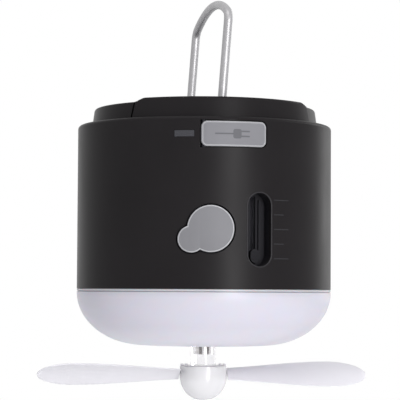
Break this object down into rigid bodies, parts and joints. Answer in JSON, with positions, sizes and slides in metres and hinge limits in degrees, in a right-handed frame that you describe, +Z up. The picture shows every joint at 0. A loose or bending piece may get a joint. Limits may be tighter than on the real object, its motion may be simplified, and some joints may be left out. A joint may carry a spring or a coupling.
{
  "type": "portable camping fan",
  "caption": "Hanging camping fan: black drum housing with folding wire hook, milky lamp lens below and a clear two-blade rotor under it.",
  "frame": {"origin": "hang point: inside top of the hook's arch, as the hook stands at rest", "axes": "+Z up along the drum's axis; -Y towards the front with the port cover; +X to the right seen from the front, the way the hook leans"},
  "size_m": [0.1406, 0.1085, 0.1704],
  "materials": {
    "black_plastic": "fine satin texture",
    "wire_steel": "satin plated",
    "grey_rubber": "matte",
    "grey_plastic": "satin",
    "dark_plastic": "satin",
    "window_plastic": "smoky and smooth",
    "screw_steel": "zinc plated",
    "socket_metal": "nickel plated",
    "circuit_board": "solder mask",
    "lamp_plastic": "white",
    "light_chip": "phosphor",
    "milky_lens": "milky, softly glossy",
    "seal_rubber": "matte",
    "cell_wrap": "shrink sleeve",
    "nickel": "nickel strip",
    "motor_steel": "plated",
    "brass": "turned",
    "clear_plastic": "frosted, see-through",
    "lead_sheath": "smooth sheath"
  },
  "bodies": {
    "body": {"housing": "black_plastic", "top_cover": "black_plastic", "cover_screws": "screw_steel", "indicator_window": "window_plastic", "status_led": "light_chip", "control_board": "circuit_board", "board_screws": "screw_steel", "usb_a_socket": "socket_metal", "charge_socket": "socket_metal", "button_carrier": "dark_plastic", "switch_board": "circuit_board", "switch_body": "dark_plastic", "slider_track": "dark_plastic", "slide_resistor": "socket_metal", "carrier_screws": "screw_steel", "battery_cell_1": "cell_wrap", "battery_cell_2": "cell_wrap", "battery_cradle": "lamp_plastic", "cell_link": "nickel", "lamp_plate": "lamp_plastic", "plate_screws": "screw_steel", "lamp_board": "lamp_plastic", "light_chips": "light_chip", "lens": "milky_lens", "lens_gasket": "seal_rubber", "motor_mount": "lamp_plastic", "mount_screws": "screw_steel", "motor_can": "motor_steel", "motor_endbell": "dark_plastic", "motor_bush": "brass", "motor_screws": "screw_steel", "motor_leads": "lead_sheath", "battery_leads": "lead_sheath", "lamp_leads": "lead_sheath"},
    "hook": {"carry_hook": "wire_steel"},
    "cover": {"port_cover": "grey_rubber"},
    "button": {"button_cap": "grey_plastic", "switch_plunger": "lamp_plastic"},
    "slider": {"slider_knob": "dark_plastic"},
    "fan": {"motor_shaft": "motor_steel", "drive_sleeve": "brass", "fan_hub": "clear_plastic", "hub_cap": "clear_plastic", "fan_blade_1": "clear_plastic", "fan_blade_2": "clear_plastic"}
  },
  "joints": [
    {"name": "hook_fold", "type": "hinge", "parent": "body", "child": "hook", "pos_m": [-0.00338, 0, -0.04497], "axis": [0, 1, 0], "range_deg": [-87, 78.5]},
    {"name": "cover_open", "type": "hinge", "parent": "body", "child": "cover", "pos_m": [-0.01563, -0.05146, -0.05757], "axis": [0, 0, -1], "range_deg": [0, 90]},
    {"name": "button_press", "type": "slide", "parent": "body", "child": "button", "axis": [0.1754, 0.9845, 0], "range_m": [0, 0.0006], "stiffness_N_per_m": 500},
    {"name": "slider_move", "type": "slide", "parent": "body", "child": "slider", "axis": [0, 0, 1], "range_m": [-0.00134, 0.02214]},
    {"name": "fan_spin", "type": "hinge", "parent": "body", "child": "fan", "pos_m": [-0.00338, 0, -0.15557], "axis": [0, 0, 1], "continuous": true}
  ]
}
